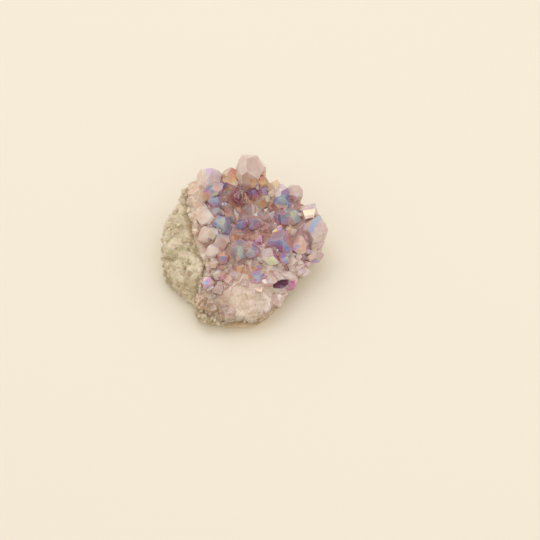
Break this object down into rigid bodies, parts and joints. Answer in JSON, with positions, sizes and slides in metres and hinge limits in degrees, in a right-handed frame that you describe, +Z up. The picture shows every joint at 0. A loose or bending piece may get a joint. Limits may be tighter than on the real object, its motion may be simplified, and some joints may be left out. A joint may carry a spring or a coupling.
{
  "type": "crystal cluster",
  "caption": "Palm-size natural cluster of coated quartz crystals with blunt and pointed ends, grown as a crust on a broken lump of rock, for display or decoration.",
  "frame": {"origin": "on the flat broken base, at the height it rests at and near the middle of the outline seen from above", "axes": "+Z up, away from the base; +X to the right, towards the side where the crystals overhang; -Y to the front, the side of the broken face of massive quartz"},
  "size_m": [0.0576, 0.0564, 0.0308],
  "materials": {
    "rock_matrix": "rough",
    "aura_amethyst": "polished"
  },
  "bodies": {
    "root": {"matrix": "rock_matrix", "crystal_crust": "aura_amethyst"}
  },
  "joints": []
}
